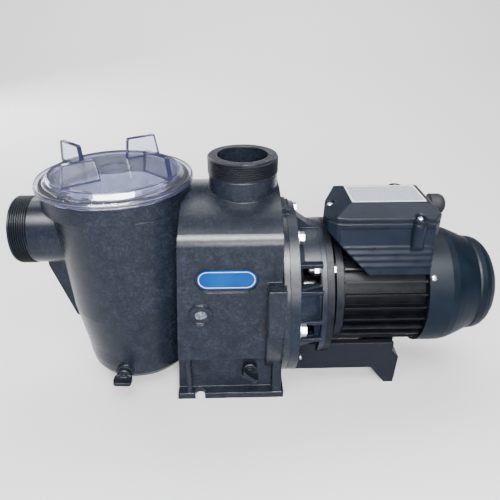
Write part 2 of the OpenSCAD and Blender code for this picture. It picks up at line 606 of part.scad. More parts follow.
module box_gasket() color([0.04, 0.04, 0.04]) translate([0, 0, box_rim_z]) difference() {
    linear_extrude(gasket_t) union() {
        box_plan(0.8);
        for (p = [box_screw_xy[1], box_screw_xy[2]]) translate([p[0], p[1]]) circle(6.8);
    }
    translate([0, 0, -1]) linear_extrude(5) difference() {
        box_plan(4);
        translate([box_x0, -10.5]) square([18, 10]);
        for (p = [box_screw_xy[1], box_screw_xy[2]]) translate([p[0], p[1]]) circle(6);
    }
    for (p = box_screw_xy) translate([p[0], p[1], -1]) cylinder(h = 5, r = 2 + rod_clear);
}

module terminal_box_lid() color([0.17, 0.20, 0.25]) difference() {
    union() {
        intersection() {
            along_y(-70, 70) polygon([[box_x0, lid_z0], [box_x0, lid_z0 + 0.8], [113.5, box_top_z],
                [198, box_top_z], [box_x1, 213], [box_x1, lid_z0]]);
            along_x(60, 230) polygon([[-box_half_w, lid_z0], [-box_half_w, 211.5], [-26, box_top_z],
                [25.5, box_top_z], [box_half_w, 211], [box_half_w, lid_z0]]);
            translate([0, 0, 190]) linear_extrude(60) box_plan(0);
        }
        box_ears(lid_z0, 211.5);
    }
    difference() {
        intersection() {
            along_y(-70, 70) polygon([[box_x0 + 8, lid_z0 - 1], [box_x0 + 8, lid_z0 + 0.2], [115, box_top_z - 3],
                [197, box_top_z - 3], [box_x1 - 3, 210], [box_x1 - 3, lid_z0 - 1]]);
            along_x(60, 230) polygon([[-45, lid_z0 - 1], [-45, 209.5], [-25, box_top_z - 3],
                [24.5, box_top_z - 3], [45, 209], [45, lid_z0 - 1]]);
            translate([0, 0, 190]) linear_extrude(60) box_plan(4);
        }
        for (p = box_screw_xy) translate([p[0], p[1], 190]) cylinder(h = 60, r = 7.5);
    }
    // seats of the lid screws
    for (p = box_screw_xy) {
        translate([p[0], p[1], screw_seat_z]) cylinder(h = 30, r = 5.2);
        translate([p[0], p[1], 190]) cylinder(h = 30, r = 2 + rod_clear);
    }
}
module box_screws() color([0.80, 0.81, 0.82]) for (p = box_screw_xy) {
    translate([p[0], p[1], screw_seat_z]) cylinder(h = 3, r = 3.6);
    translate([p[0], p[1], 192]) cylinder(h = screw_seat_z - 191, r = 2);
}
module rating_label() color([0.72, 0.73, 0.75]) translate([115, -23.5, box_top_z]) cube([80, 47, label_t]);

module cable_gland() color([0.06, 0.06, 0.07]) difference() {
    translate([0, gland_y, gland_z]) rotate([0, 90, 0]) rotate_extrude() polygon([
        [0, box_x1 - 8], [7, box_x1 - 8], [7, box_x1 + 4], [10, box_x1 + 4], [10, box_x1 + 12], [12.5, box_x1 + 13],
        [12.5, box_x1 + 24], [11, box_x1 + 28], [8, box_x1 + 30.5], [0, box_x1 + 30.5]]);
    translate([box_x1 - 9, gland_y, gland_z]) rotate([0, 90, 0]) cylinder(h = 60, r = 4);
}
module gland_nut() color([0.06, 0.06, 0.07]) translate([box_x1 - 8, gland_y, gland_z]) rotate([0, 90, 0]) difference() {
    cylinder(h = 3.5, r = 10.3, $fn = 6);
    translate([0, 0, -1]) cylinder(h = 6, r = 7 + press);
}
module capacitor() color([0.82, 0.83, 0.84]) union() {
    translate([113, 24, box_floor_z + 13]) rotate([0, 90, 0]) cylinder(h = 55, r = 13);
    translate([118, 14, box_floor_z]) cube([6, 20, 8]);
    translate([150, 14, box_floor_z]) cube([6, 20, 8]);
}
module terminal_block() color([0.75, 0.72, 0.62]) union() {
    translate([112, -38, box_floor_z]) cube([50, 24, 12]);
    for (i = [0:2], j = [0:1]) translate([121 + i * 16, -32 + j * 12, box_floor_z + 11]) cylinder(h = 9, r = 2);
}

// ---- cradle under the motor ----
module motor_cradle() color([0.13, 0.14, 0.17]) difference() {
    union() {
        for (s = [-1, 1]) translate([flange_x1, s > 0 ? 50 : -58, 23]) cube([167 - flange_x1, 8, 36]);
        translate([146, -58, 24]) cube([32, 116, cradle_z - 24]);
        // sloping foot
        along_y(-58, 58) polygon([[147, 26], [167, 0], [178, 0], [180, 38], [172, 47], [170, 36], [150, 36]]);
        for (s = [-1, 1]) translate([150, s > 0 ? 50 : -58, 24]) cube([22, 8, 35]);
        // end tabs against the bracket's flange
        for (s = [-1, 1]) translate([flange_x1, s > 0 ? 50 : -66, 32]) cube([6, 16, 24]);
    }
    // round the motor's flange, its bolts, fins and feet
    disc(ring_x[0] - clear, 95 + clear, motor_flange_r + clear);
    around(stud_angles) rod_at(70, 100, motor_pcr, 9);
    disc(140, 190, fin_r + clear);
    for (s = [-1, 1]) translate([151.7, s > 0 ? 17.7 : -42.3, cradle_z]) cube([24.6, 24.6, 30]);
    // hollow of the foot, screw holes
    translate([158, -44, -1]) cube([14, 88, 18]);
    for (s = [-1, 1]) translate([164, s * 30, 10]) cylinder(h = 30, r = 2.5 + rod_clear);
    for (s = [-1, 1]) translate([50, s * 62, 44]) rotate([0, 90, 0]) cylinder(h = 30, r = 2 + rod_clear);
}
module cradle_screws() color([0.74, 0.75, 0.77]) for (s = [-1, 1]) {
    translate([164, s * 30, 14]) cylinder(h = 3, r = 4.5);
    translate([164, s * 30, 16]) cylinder(h = 29, r = 2.5);
}
module tie_screws() color([0.74, 0.75, 0.77]) for (s = [-1, 1]) {
    translate([flange_x1 + 6, s * 62, 44]) rotate([0, 90, 0]) cylinder(h = 3, r = 3.6);
    translate([49, s * 62, 44]) rotate([0, 90, 0]) cylinder(h = flange_x1 - 42, r = 2);
}

strainer_pot();
suction_collar();
volute_casing();
strainer_lid();
lid_seal();
strainer_basket();
pot_drain_plug();
pot_drain_seal();
volute_drain_plug();
volute_drain_seal();
badge_plate();
diffuser();
impeller();
impeller_screw();
seal_seat();
seal_head();
seal_boot();
water_slinger();
bracket();
casing_gasket();
flange_bolts();
flange_washers();
motor_bolts();
motor_nuts();
motor_shaft();
rotor_core();
front_bearing();
rear_bearing();
stator_core();
stator_windings();
motor_housing();
front_end_shield();
rear_end_shield();
cooling_fan();
fan_clip();
fan_cowl();
cowl_screws();
terminal_box_base();
box_gasket();
terminal_box_lid();
box_screws();
rating_label();
cable_gland();
gland_nut();
capacitor();
terminal_block();
motor_cradle();
cradle_screws();
tie_screws();
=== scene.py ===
import math

import bmesh
import bpy
from mathutils import Matrix, Vector


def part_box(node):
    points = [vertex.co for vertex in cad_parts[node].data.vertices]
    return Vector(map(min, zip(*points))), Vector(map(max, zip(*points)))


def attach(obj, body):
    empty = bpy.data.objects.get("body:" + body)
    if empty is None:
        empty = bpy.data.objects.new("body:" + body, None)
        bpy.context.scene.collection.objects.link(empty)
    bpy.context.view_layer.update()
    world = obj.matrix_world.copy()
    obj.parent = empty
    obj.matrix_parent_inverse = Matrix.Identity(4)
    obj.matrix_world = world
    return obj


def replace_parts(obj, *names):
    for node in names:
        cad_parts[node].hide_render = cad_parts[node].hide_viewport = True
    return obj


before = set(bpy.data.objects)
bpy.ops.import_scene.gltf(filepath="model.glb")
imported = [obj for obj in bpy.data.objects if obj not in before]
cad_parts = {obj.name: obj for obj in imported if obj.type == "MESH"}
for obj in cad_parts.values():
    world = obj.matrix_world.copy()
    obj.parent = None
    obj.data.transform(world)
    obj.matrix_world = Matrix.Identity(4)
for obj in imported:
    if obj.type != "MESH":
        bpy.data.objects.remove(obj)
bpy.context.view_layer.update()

# Camera at the photograph's viewing angle: almost square to the pump's side, looking down on it
# from a little over half a metre away.
camera_place = Vector((-0.00645, -0.5081, 0.4253))
looks_at = Vector((0.00765, 0.0, 0.1516))
camera = bpy.data.objects.new("camera", bpy.data.cameras.new("camera"))
bpy.context.scene.collection.objects.link(camera)
camera.location = camera_place
camera.rotation_euler = (looks_at - camera_place).to_track_quat("-Z", "Y").to_euler()
camera.data.lens = 35.87
camera.data.sensor_width = 36.0
camera.data.clip_start = 0.01
camera.data.clip_end = 60.0
bpy.context.scene.camera = camera

# ---- Strainer pot and volute casing ----
# Both are injection moulded in black glass-filled polypropylene. The glass shows as cloudy,
# bluish-grey swirls under a satin skin, and the pot is joined to the casing along one seam.


def shader_of(name):
    """A new material with its node tree, its Principled shader and its Object coordinates."""
    material = bpy.data.materials.new(name)
    material.use_nodes = True
    tree = material.node_tree
    shader = tree.nodes["Principled BSDF"]
    place = tree.nodes.new("ShaderNodeTexCoord")
    return material, tree, shader, place.outputs["Object"]


def cloud(tree, place, scale, detail=4.0, roughness=0.6, distortion=0.0):
    """Noise in the object's own space; scale is in patches to the metre."""
    noise = tree.nodes.new("ShaderNodeTexNoise")
    noise.inputs["Scale"].default_value = scale
    noise.inputs["Detail"].default_value = detail
    noise.inputs["Roughness"].default_value = roughness
    noise.inputs["Distortion"].default_value = distortion
    tree.links.new(place, noise.inputs["Vector"])
    return noise.outputs["Fac"]


def between(tree, value, low, high, to_low=0.0, to_high=1.0):
    """The value stretched from one range to another and held at its ends."""
    spread = tree.nodes.new("ShaderNodeMapRange")
    spread.inputs["From Min"].default_value = low
    spread.inputs["From Max"].default_value = high
    spread.inputs["To Min"].default_value = to_low
    spread.inputs["To Max"].default_value = to_high
    tree.links.new(value, spread.inputs["Value"])
    return spread.outputs["Result"]


def stain(tree, amount, dark, light):
    """A colour that goes from dark to light with the amount."""
    mix = tree.nodes.new("ShaderNodeMix")
    mix.data_type = "RGBA"
    mix.inputs[6].default_value = (*dark, 1.0)
    mix.inputs[7].default_value = (*light, 1.0)
    tree.links.new(amount, mix.inputs[0])
    return mix.outputs[2]


def coat(tree, shader, amount, dark, light):
    """The surface colour goes from dark to light with the amount."""
    tree.links.new(stain(tree, amount, dark, light), shader.inputs["Base Color"])


def grain(tree, shader, height, depth, edge=0.0):
    """Relief of that depth in metres, over edges rounded by the given radius."""
    bump = tree.nodes.new("ShaderNodeBump")
    bump.inputs["Distance"].default_value = depth
    bump.inputs["Strength"].default_value = 1.0
    tree.links.new(height, bump.inputs["Height"])
    if edge:
        bevel = tree.nodes.new("ShaderNodeBevel")
        bevel.samples = 4
        bevel.inputs["Radius"].default_value = edge
        tree.links.new(bevel.outputs["Normal"], bump.inputs["Normal"])
    tree.links.new(bump.outputs["Normal"], shader.inputs["Normal"])


def glass_filled(name, dark, light, scale, rough, edge):
    """Glass-filled plastic: fine mottling gathered in wider hazy patches, of low to high roughness."""
    material, tree, shader, place = shader_of(name)
    mottle = cloud(tree, place, scale, detail=8.0, roughness=0.82, distortion=0.25)
    haze = cloud(tree, place, scale * 0.12, detail=3.0, roughness=0.55, distortion=0.8)
    product = tree.nodes.new("ShaderNodeMath")
    product.operation = "MULTIPLY"
    tree.links.new(between(tree, mottle, 0.38, 0.74), product.inputs[0])
    tree.links.new(between(tree, haze, 0.34, 0.66, 0.45, 1.0), product.inputs[1])
    coat(tree, shader, product.outputs[0], dark, light)
    rough_low, rough_high = rough
    tree.links.new(between(tree, mottle, 0.35, 0.7, rough_high, rough_low), shader.inputs["Roughness"])
    shader.inputs["Specular IOR Level"].default_value = 0.13
    grain(tree, shader, mottle, 0.00022, edge)
    return material


def dress(material, *nodes):
    """CAD nodes that keep their shape take this finish."""
    for node in nodes:
        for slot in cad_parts[node].material_slots:
            slot.material = material


body_black = glass_filled("body_black", (0.0034, 0.0046, 0.0080), (0.027, 0.034, 0.052), scale=330.0,
                          rough=(0.14, 0.30), edge=0.0014)
dress(body_black, "strainer_pot", "suction_collar", "volute_casing")


# ---- Moulding gate mark ----
# The round boss low on the casing's front is where the plastic was let into the mould. A fine ring
# stands round it, and the snapped-off sprue left a rough, shiny scar, flecked with painted glints.


def placed(name, bm, material, body, sharp=32.0):
    """The finished mesh becomes a piece with its material that rides on a body."""
    bmesh.ops.remove_doubles(bm, verts=bm.verts, dist=1e-6)
    bmesh.ops.recalc_face_normals(bm, faces=bm.faces)
    mesh = bpy.data.meshes.new(name)
    bm.to_mesh(mesh)
    bm.free()
    mesh.shade_smooth()
    mesh.set_sharp_from_angle(angle=math.radians(sharp))
    mesh.materials.append(material)
    piece = bpy.data.objects.new(name, mesh)
    bpy.context.scene.collection.objects.link(piece)
    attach(piece, body)
    return piece


def turned(outline, steps=48, closed=False):
    """A body turned about Z from an outline of radius and height; a closed outline makes a ring."""
    bm = bmesh.new()
    points = [bm.verts.new((r, 0.0, z)) for r, z in outline]
    pairs = list(zip(points, points[1:])) + ([(points[-1], points[0])] if closed else [])
    edges = [bm.edges.new(pair) for pair in pairs]
    bmesh.ops.spin(bm, geom=[*points, *edges], cent=(0, 0, 0), axis=(0, 0, 1), angle=math.tau, steps=steps,
                   use_merge=True)
    bmesh.ops.remove_doubles(bm, verts=bm.verts, dist=1e-7)
    return bm


def points_in(geometry):
    """The vertices among what an operation made."""
    return [g for g in geometry if isinstance(g, bmesh.types.BMVert)]


gate_place = Matrix.Translation((-0.046, -0.0815, 0.118)) @ Matrix.Rotation(math.radians(90), 4, "X")
gate_ring_outline = [(0.0117, -0.0002), (0.0120, 0.0005), (0.0126, 0.0007), (0.0129, 0.0001),
                     (0.0128, -0.0003)]
bm = turned(gate_ring_outline, steps=64, closed=True)
bmesh.ops.transform(bm, matrix=gate_place, verts=bm.verts)
placed("gate_ring", bm, body_black, "pump")

scar_half_length, scar_half_height = 0.0062, 0.0048
scar_edge, scar_root = -0.0003, -0.0006
bm = bmesh.new()
bmesh.ops.create_grid(bm, x_segments=36, y_segments=24, size=0.5)
for v in bm.verts:
    x, y = v.co.x * 2, v.co.y * 2
    reach = math.hypot(x, y)
    lump = (math.sin(9 * x + 2.0) * math.sin(11 * y - 1.0) + 0.6 * math.sin(23 * x - 17 * y)
            + 0.4 * math.sin(31 * y + 13 * x))
    height = (1 - min(1.0, reach) ** 2) * (0.00055 + 0.00028 * lump)
    v.co = (x * scar_half_length, y * scar_half_height, height - 0.00015 if reach < 1 else scar_edge)
outside = [f for f in bm.faces if all(v.co.z <= scar_edge + 0.00001 for v in f.verts)]
bmesh.ops.delete(bm, geom=outside, context="FACES")
grown = bmesh.ops.extrude_edge_only(bm, edges=[e for e in bm.edges if e.is_boundary])["geom"]
for v in points_in(grown):
    v.co.z = scar_root
bmesh.ops.holes_fill(bm, edges=[e for e in bm.edges if e.is_boundary], sides=0)
bmesh.ops.transform(bm, matrix=gate_place @ Matrix.Rotation(0.25, 4, "Z"), verts=bm.verts)
# The scar's colour runs in flecks from black to pale blue-grey; the pale flecks are painted glints.
scar_painted_glints, tree, shader, place = shader_of("scar_painted_glints")
coat(tree, shader, between(tree, cloud(tree, place, 900.0), 0.45, 0.62), (0.004, 0.006, 0.009),
     (0.16, 0.20, 0.25))
shader.inputs["Roughness"].default_value = 0.18
grain(tree, shader, cloud(tree, place, 1300.0, 3.0), 0.0004)
placed("gate_scar", bm, scar_painted_glints, "pump")


# ---- Port threads ----
# Each port carries a 2 1/2 inch pipe thread, cut as one helical ridge round its moulded core:
# 2.31 mm pitch, 1.5 mm deep, 75.2 mm over the crests.
thread_black = glass_filled("thread_black", (0.0012, 0.0015, 0.0024), (0.010, 0.013, 0.020), scale=300.0,
                            rough=(0.28, 0.42), edge=0.0)


def port_thread(name, place, turns=7.75, pitch=0.00231, core=0.0362, crest=0.0376):
    """One helical ridge round a port; it winds along the place's own Z, from its foot to the mouth."""
    bm = bmesh.new()
    outline = [(core - 0.0004, -0.46), (core, -0.44), (crest - 0.0001, -0.09), (crest - 0.0001, 0.09),
               (core, 0.44), (core - 0.0004, 0.46)]
    face = bm.faces.new([bm.verts.new((r, 0.0, z * pitch)) for r, z in outline])
    steps_in_turn = 72
    bmesh.ops.spin(bm, geom=[face, *face.edges, *face.verts], cent=(0, 0, 0), axis=(0, 0, 1),
                   dvec=(0, 0, pitch / steps_in_turn), angle=math.tau * turns,
                   steps=int(steps_in_turn * turns), use_merge=False)
    bmesh.ops.transform(bm, matrix=place, verts=bm.verts)
    placed(name, bm, thread_black, "pump", sharp=0.0)


port_thread("discharge_thread", Matrix.Translation((0, 0, 0.2472)))
port_thread("suction_thread",
            Matrix.Translation((-0.2472, 0, 0.182)) @ Matrix.Rotation(math.radians(90), 4, "Y"))


# ---- Badge ----
# A blue acrylic plate glued into the racetrack-shaped recess in the casing's front. Only its thin
# white border is printed on it here; the middle stays bare.
badge_blue, tree, shader, place = shader_of("badge_blue")
coat(tree, shader, between(tree, cloud(tree, place, 40.0, 1.0), 0.3, 0.7), (0.000, 0.030, 0.15),
     (0.0002, 0.046, 0.21))
shader.inputs["Roughness"].default_value = 0.30
shader.inputs["Specular IOR Level"].default_value = 0.10
dress(badge_blue, "badge_plate")


def banded(bm, width, thick):
    """The mesh's one flat face becomes a solid band of this width along its own outline."""
    field = bm.faces[:]
    bm.normal_update()
    bmesh.ops.inset_region(bm, faces=field, thickness=width, use_even_offset=True, use_boundary=True)
    bmesh.ops.delete(bm, geom=field, context="FACES")
    bmesh.ops.solidify(bm, geom=bm.faces[:], thickness=thick)


def flecked(name, dark, light, scale, rough):
    """A finish of one roughness, flecked from dark to light."""
    material, tree, shader, place = shader_of(name)
    coat(tree, shader, cloud(tree, place, scale), dark, light)
    shader.inputs["Roughness"].default_value = rough
    return material


border_length, border_height = 0.0578, 0.0188
half, radius = (border_length - border_height) / 2, border_height / 2
bm = bmesh.new()
outline = []
for i in range(64):
    a = math.tau * (i + 0.5) / 64
    outline.append((math.copysign(half, math.cos(a)) + radius * math.cos(a), 0, radius * math.sin(a)))
bm.faces.new([bm.verts.new(point) for point in outline])
banded(bm, width=0.0005, thick=0.0002)
bmesh.ops.translate(bm, vec=(-0.018, -0.07960, 0.1602), verts=bm.verts)
border_white = flecked("border_white", (0.55, 0.60, 0.68), (0.80, 0.84, 0.90), scale=700.0, rough=0.35)
placed("badge_border", bm, border_white, "pump", sharp=0.0)


# ---- Clear lid ----
# The strainer lid is moulded in clear smoky polycarbonate, so that the basket can be seen. Where the
# surface turns over an edge, its colour darkens to deep blue as painted shade. It screws down on a black
# rubber ring.
lid_clear, tree, shader, place = shader_of("lid_clear")
clear_tone = stain(tree, between(tree, cloud(tree, place, 60.0, 2.0), 0.3, 0.7), (0.84, 0.86, 0.95),
                   (0.93, 0.94, 1.0))
# Where the rounded normal leans away from the true one, at the edges, the colour turns deep blue: painted
# shade.
rounded = tree.nodes.new("ShaderNodeBevel")
rounded.samples = 6
rounded.inputs["Radius"].default_value = 0.0011
facing = tree.nodes.new("ShaderNodeNewGeometry")
flatness = tree.nodes.new("ShaderNodeVectorMath")
flatness.operation = "DOT_PRODUCT"
tree.links.new(rounded.outputs["Normal"], flatness.inputs[0])
tree.links.new(facing.outputs["Normal"], flatness.inputs[1])
painted_edge_shade = tree.nodes.new("ShaderNodeMix")
painted_edge_shade.data_type = "RGBA"
painted_edge_shade.inputs[6].default_value = (0.060, 0.055, 0.22, 1.0)
tree.links.new(clear_tone, painted_edge_shade.inputs[7])
tree.links.new(between(tree, flatness.outputs["Value"], 0.80, 0.985), painted_edge_shade.inputs[0])
tree.links.new(painted_edge_shade.outputs[2], shader.inputs["Base Color"])
shader.inputs["Transmission Weight"].default_value = 0.965
shader.inputs["Specular IOR Level"].default_value = 0.10
shader.inputs["Roughness"].default_value = 0.05
shader.inputs["IOR"].default_value = 1.49
smoke = tree.nodes.new("ShaderNodeVolumeAbsorption")
smoke.inputs["Color"].default_value = (0.42, 0.44, 0.70, 1.0)
smoke.inputs["Density"].default_value = 70.0
tree.links.new(smoke.outputs["Volume"], tree.nodes["Material Output"].inputs["Volume"])
dress(lid_clear, "strainer_lid")


# ---- Painted shade on the rims of the lid's wings ----
# Four upright wings turn the lid by hand. They are moulded with it. A dark purple band of painted
# shade lies along each wing's outline, standing in for the darkness the clear plastic shows at its edges.
# A dark purple, half clear finish that paints shade along the wings' edges and the lid's steps.
painted_rim_shade, tree, shader, place = shader_of("painted_rim_shade")
coat(tree, shader, cloud(tree, place, 220.0, 3.0), (0.022, 0.024, 0.075), (0.055, 0.060, 0.15))
shader.inputs["Transmission Weight"].default_value = 0.55
shader.inputs["Roughness"].default_value = 0.14
shader.inputs["IOR"].default_value = 1.49


def gather(bm, part, place=None):
    """One mesh goes into another, turned and placed on the way."""
    if place is not None:
        bmesh.ops.transform(part, matrix=place, verts=part.verts)
    scratch = bpy.data.meshes.new("scratch")
    part.to_mesh(scratch)
    part.free()
    bm.from_mesh(scratch)
    bpy.data.meshes.remove(scratch)


lid_axis_x = -0.1359
wing_foot, wing_top = 0.2510, 0.27370
wings = ((0.0067, 0.0342, 34.0, 0.039), (0.0340, -0.0068, -43.7, 0.041))
bm = bmesh.new()
for half_turn in (0.0, math.pi):
    for foot_x, foot_y, heading, length in wings:
        part = bmesh.new()
        side = length - 0.0038
        corners = [(-0.0002, wing_foot), (length + 0.0002, wing_foot), (side + 0.0004, wing_top - 0.0022),
                   (side - 0.0004, wing_top - 0.0006), (side - 0.0020, wing_top), (0.0048, wing_top),
                   (0.0033, wing_top - 0.0006), (0.0026, wing_top - 0.0022)]
        part.faces.new([part.verts.new((x, 0.0, z)) for x, z in corners])
        banded(part, width=0.0012, thick=0.0049)
        middle = sum(v.co.y for v in part.verts) / len(part.verts)
        bmesh.ops.translate(part, vec=(0, -middle, 0), verts=part.verts)
        gather(bm, part, Matrix.Translation((lid_axis_x, 0, 0)) @ Matrix.Rotation(half_turn, 4, "Z")
               @ Matrix.Translation((foot_x, foot_y, 0)) @ Matrix.Rotation(math.radians(heading), 4, "Z"))
placed("wing_edge_shade_bands", bm, painted_rim_shade, "lid")


# ---- Painted shade rings on the lid's steps ----
# The lid steps down to its flange, and each step is rounded over in the mould. A fine round bead of
# the same dark purple painted shade lies on each of the five edges.
lid_steps = ((0.0684, 0.2504, 0.0006), (0.0731, 0.2449, 0.0007), (0.0812, 0.2444, 0.0007),
             (0.0819, 0.2421, 0.0006), (0.0819, 0.2397, 0.0006))
bm = bmesh.new()
for ring_radius, ring_z, bead in lid_steps:
    angles = [math.tau * i / 8 for i in range(8)]
    bead_outline = [(ring_radius + bead * math.cos(a), ring_z + bead * math.sin(a)) for a in angles]
    gather(bm, turned(bead_outline, steps=96, closed=True), Matrix.Translation((lid_axis_x, 0, 0)))
placed("lid_step_shade_rings", bm, painted_rim_shade, "lid", sharp=60.0)


# ---- Rubber seals ----
# The lid's ring, the plugs' washers, the gaskets, the boot of the shaft seal and the water slinger are
# moulded in dull black rubber, each pressed between the pieces it seals.


def plain_rubber(name, dark, light):
    """Dull black rubber with a faint fine grain."""
    material, tree, shader, place = shader_of(name)
    coat(tree, shader, cloud(tree, place, 300.0, 5.0), dark, light)
    tree.links.new(between(tree, cloud(tree, place, 120.0), 0.3, 0.7, 0.62, 0.8), shader.inputs["Roughness"])
    shader.inputs["Specular IOR Level"].default_value = 0.15
    grain(tree, shader, cloud(tree, place, 2200.0, 2.0), 0.00004)
    return material


seal_rubber = plain_rubber("seal_rubber", (0.006, 0.006, 0.007), (0.022, 0.022, 0.024))
dress(seal_rubber, "lid_seal", "pot_drain_seal", "volute_drain_seal", "casing_gasket", "box_gasket",
      "seal_boot", "water_slinger")


# ---- Strainer basket ----
# A slotted basket moulded in pale natural polypropylene. It hangs by its rim on the pot's inner ledge
# and lifts out when the lid is off.
basket_pale, tree, shader, place = shader_of("basket_pale")
coat(tree, shader, between(tree, cloud(tree, place, 90.0), 0.35, 0.65), (0.26, 0.29, 0.35),
     (0.42, 0.46, 0.54))
shader.inputs["Roughness"].default_value = 0.5
grain(tree, shader, cloud(tree, place, 1200.0, 2.0), 0.00004, 0.0006)
dress(basket_pale, "strainer_basket")


# ---- Drain plugs ----
# Two plugs moulded in the body's plastic close the drains of the pot and the casing. Each screws in on
# a rubber washer and has a waisted T bar for the fingers.
plug_black = glass_filled("plug_black", (0.0040, 0.0054, 0.0090), (0.018, 0.024, 0.038), scale=380.0,
                          rough=(0.26, 0.40), edge=0.0010)


def drain_plug(name, body, node, x, seat, z, tilt):
    """A threaded plug that points to -Y: shank, flange, neck and a waisted T bar turned by the tilt."""
    thread = []
    for rise in (0.0, 0.0016, 0.0032, 0.0048, 0.0064):
        thread += [(0.0060, rise - 0.0078), (0.0055, rise - 0.0070)]
    bm = turned([(0, -0.009), (0.0050, -0.009), (0.0054, -0.0085), *thread, (0.0055, 0.0021),
                 (0.0080, 0.0021), (0.0085, 0.0026), (0.0085, 0.0072), (0.0079, 0.0079), (0.0064, 0.0082),
                 (0.0062, 0.0074), (0.0046, 0.0074), (0.0042, 0.0105), (0, 0.0105)], steps=56)
    bar = bmesh.new()
    bmesh.ops.create_cube(bar, size=1.0)
    bmesh.ops.scale(bar, vec=(0.0200, 0.0050, 0.0140), verts=bar.verts)
    upright = [e for e in bar.edges if abs(e.verts[0].co.y - e.verts[1].co.y) > 1e-5]
    bmesh.ops.bevel(bar, geom=upright, offset=0.0034, segments=4, profile=0.5, affect="EDGES", material=-1)
    sides = [f for f in bar.faces if abs(f.normal.y) > 0.9]
    bmesh.ops.inset_region(bar, faces=sides, thickness=0.0015, depth=-0.0008, use_even_offset=True)
    square = [e for e in bar.edges if e.calc_face_angle(0.0) > 0.9]
    bmesh.ops.bevel(bar, geom=square, offset=0.00035, segments=2, profile=0.5, affect="EDGES", material=-1)
    gather(bm, bar, Matrix.Translation((0, 0, 0.0140)))
    place = (Matrix.Translation((x, seat, z)) @ Matrix.Rotation(math.radians(tilt), 4, "Y")
             @ Matrix.Rotation(math.radians(90), 4, "X"))
    bmesh.ops.transform(bm, matrix=place, verts=bm.verts)
    plug = placed(name, bm, plug_black, body)
    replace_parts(plug, node)


drain_plug("pot_plug_detailed", "pot_plug", "pot_drain_plug", x=-0.1385, seat=-0.064, z=0.028, tilt=4.0)
drain_plug("casing_plug_detailed", "casing_plug", "volute_drain_plug", x=0.0055, seat=-0.068, z=0.037,
           tilt=35.0)


# ---- Impeller, diffuser and shaft seal ----
# The closed impeller runs inside a moulded diffuser bowl. Behind it a carbon ring turns on a ceramic
# seat, pressed by a rubber sleeve.
inner_grey = glass_filled("inner_grey", (0.040, 0.044, 0.052), (0.105, 0.113, 0.130), scale=300.0,
                          rough=(0.38, 0.55), edge=0.0006)
dress(inner_grey, "diffuser", "impeller")
seat_ceramic = flecked("seat_ceramic", (0.72, 0.70, 0.64), (0.84, 0.82, 0.77), scale=900.0, rough=0.18)
dress(seat_ceramic, "seal_seat")
carbon = flecked("carbon", (0.012, 0.012, 0.013), (0.035, 0.035, 0.037), scale=1500.0, rough=0.4)
dress(carbon, "seal_head")


# ---- Bracket ----
# The open bracket between casing and motor is moulded in the same glass-filled plastic, a little
# bluer and duller than the casing.
bracket_black = glass_filled("bracket_black", (0.0014, 0.0024, 0.0056), (0.016, 0.025, 0.048), scale=300.0,
                             rough=(0.26, 0.42), edge=0.0012)
dress(bracket_black, "bracket")


# ---- Bolts, washers and screws ----
# Stainless hexagon bolts clamp the casing to the bracket and the bracket to the motor. Small pan-head
# screws with cross recesses hold the box lid, the cowl and the cradle.


def bright_steel(name, dark, light, rough, edge):
    """Bare metal with fine patches of brighter and duller shine."""
    material, tree, shader, place = shader_of(name)
    coat(tree, shader, between(tree, cloud(tree, place, 500.0, 5.0), 0.3, 0.7), dark, light)
    shine = between(tree, cloud(tree, place, 900.0, 3.0), 0.3, 0.7, rough - 0.07, rough + 0.1)
    tree.links.new(shine, shader.inputs["Roughness"])
    shader.inputs["Metallic"].default_value = 1.0
    grain(tree, shader, cloud(tree, place, 2500.0, 2.0), 0.00002, edge)
    return material


stainless = bright_steel("stainless", (0.26, 0.27, 0.29), (0.50, 0.51, 0.54), rough=0.30, edge=0.0004)
dress(stainless, "flange_washers", "impeller_screw", "fan_clip")


def edges_in(geometry):
    """The edges among what an operation made."""
    return [g for g in geometry if isinstance(g, bmesh.types.BMEdge)]


def hexagon(bm, radius, height, bore=0.0):
    """A hexagon prism from z = 0, its corners chamfered at the top, and at both ends if it has a bore."""
    part = bmesh.new()
    bmesh.ops.create_circle(part, cap_ends=not bore, segments=6, radius=radius)
    if bore:
        bmesh.ops.create_circle(part, segments=24, radius=bore)
        bmesh.ops.bridge_loops(part, edges=part.edges[:])
    grown = bmesh.ops.extrude_face_region(part, geom=part.faces[:])["geom"]
    bmesh.ops.translate(part, vec=(0, 0, height), verts=points_in(grown))
    chamfer_radius, chamfer_rise = 0.90 * radius, 1.6
    ends = [(height, 1)] + ([(0.0, -1)] if bore else [])
    for i in range(6):
        a = math.tau * i / 6
        for level, way in ends:
            point = Vector((chamfer_radius * math.cos(a), chamfer_radius * math.sin(a), level))
            slope = Vector((math.cos(a), math.sin(a), way * chamfer_rise)).normalized()
            cut = bmesh.ops.bisect_plane(part, geom=[*part.verts, *part.edges, *part.faces], plane_co=point,
                                         plane_no=slope, clear_outer=True)["geom_cut"]
            bmesh.ops.holes_fill(part, edges=edges_in(cut), sides=0)
    gather(bm, part)


def threaded(radius, low, high, pitch=0.00125):
    """A shank with thread grooves, from low to high, both ends closed."""
    root, crest, lead = radius * 0.84, radius * 0.99, 0.0004
    outline = [(0, low), (radius * 0.82, low)]
    turns = int((high - low - 0.0006) / pitch)
    for i in range(turns):
        z = low + lead + i * pitch
        outline += [(root, z), (crest, z + pitch * 0.42), (crest, z + pitch * 0.56)]
    return turned(outline + [(root, low + lead + turns * pitch), (root, high), (0, high)], steps=28)


def hex_bolt(radius, head, reach):
    """A hexagon head on its seat at z = 0, over a threaded 8 mm shank."""
    bm = threaded(0.004, -reach, 0.0)
    hexagon(bm, radius, head)
    return bm


def hex_nut(radius, height, bore):
    """A hexagon nut that stands on z = 0."""
    bm = bmesh.new()
    hexagon(bm, radius, height, bore)
    return bm


